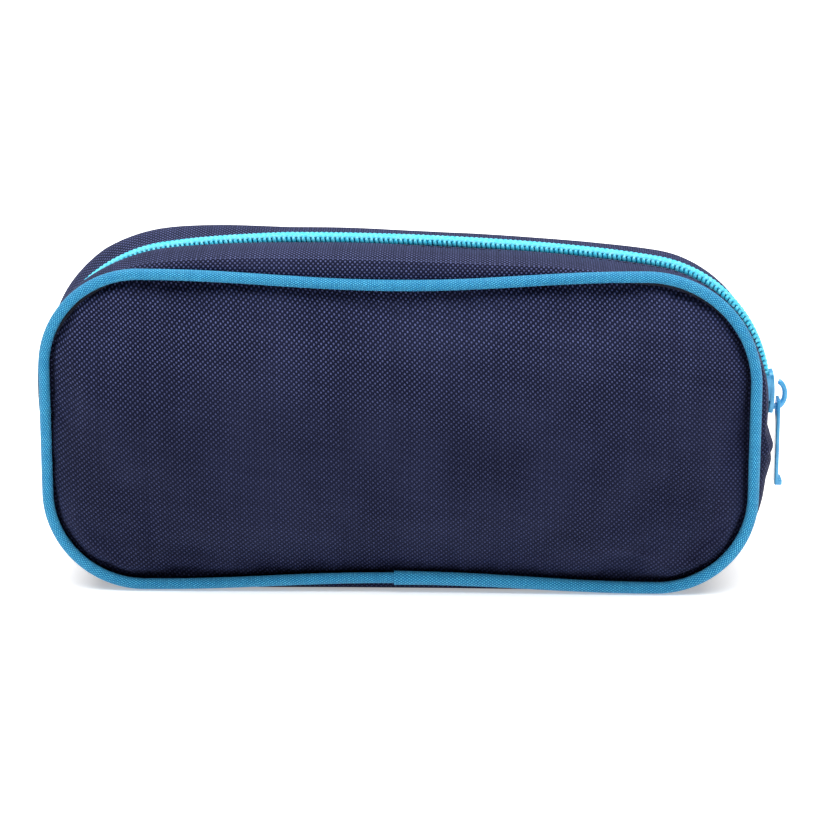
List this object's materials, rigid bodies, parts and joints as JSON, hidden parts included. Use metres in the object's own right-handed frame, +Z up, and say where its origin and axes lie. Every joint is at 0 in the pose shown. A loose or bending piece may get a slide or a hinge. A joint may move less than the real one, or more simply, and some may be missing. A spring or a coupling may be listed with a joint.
{
  "type": "pencil case",
  "caption": "Soft rectangular canvas pencil case with piped edges, a coil zip over the top and down both ends, and a front half that folds outward.",
  "frame": {"origin": "middle of the flat underside of the bottom gusset", "axes": "+X along the case towards the end where the zip slider rests, -Y out of the front panel, +Z up"},
  "size_m": [0.2343, 0.072, 0.1066],
  "materials": {
    "canvas": "plain-weave polyester canvas, matt",
    "piping": "woven bias tape, satin",
    "piping_cord": "spun cord",
    "zip_tape": "woven zip tape, matt",
    "zip_coil": "nylon monofilament coil",
    "lining": "thin woven lining",
    "seam_binding": "woven binding tape",
    "foam": "thin padding foam",
    "slider_paint": "semi-gloss paint on die-cast zinc"
  },
  "bodies": {
    "case": {"back_panel_fabric": "canvas", "back_panel_foam": "foam", "back_panel_lining": "lining", "front_panel_lower_fabric": "canvas", "front_panel_lower_foam": "foam", "front_panel_lower_lining": "lining", "bottom_gusset_fabric": "canvas", "bottom_gusset_lining": "lining", "zip_gusset_back_fabric": "canvas", "zip_gusset_back_lining": "lining", "zip_tape_back": "zip_tape", "zip_coil_back": "zip_coil", "back_piping_sleeve": "piping", "back_piping_cord": "piping_cord", "front_piping_lower_left_sleeve": "piping", "front_piping_lower_left_cord": "piping_cord", "front_piping_lower_right_sleeve": "piping", "front_piping_lower_right_cord": "piping_cord", "back_seam_binding": "seam_binding", "front_seam_binding_lower": "seam_binding", "end_seam_binding_right": "seam_binding", "end_seam_binding_left": "seam_binding"},
    "front_leaf": {"front_panel_upper_fabric": "canvas", "front_panel_upper_foam": "foam", "front_panel_upper_lining": "lining", "zip_gusset_front_fabric": "canvas", "zip_gusset_front_lining": "lining", "zip_tape_front": "zip_tape", "zip_coil_front": "zip_coil", "front_piping_upper_sleeve": "piping", "front_piping_upper_cord": "piping_cord", "front_seam_binding_upper": "seam_binding"},
    "slider": {"slider_body": "slider_paint"},
    "puller": {"puller": "slider_paint"}
  },
  "joints": [
    {"name": "mouth_open", "type": "hinge", "parent": "case", "child": "front_leaf", "pos_m": [0, -0.0365, 0.05], "axis": [1, 0, 0], "range_deg": [0, 45], "deforming": ["zip_coil_front", "zip_tape_front"]},
    {"name": "slider_travel", "type": "hinge", "parent": "case", "child": "slider", "pos_m": [0.072, 0, 0.058], "axis": [0, -1, 0], "range_deg": [0, 75]},
    {"name": "puller_swing", "type": "hinge", "parent": "slider", "child": "puller", "pos_m": [0.1176, 0, 0.0549], "axis": [0, -1, 0], "range_deg": [0, 115]}
  ]
}
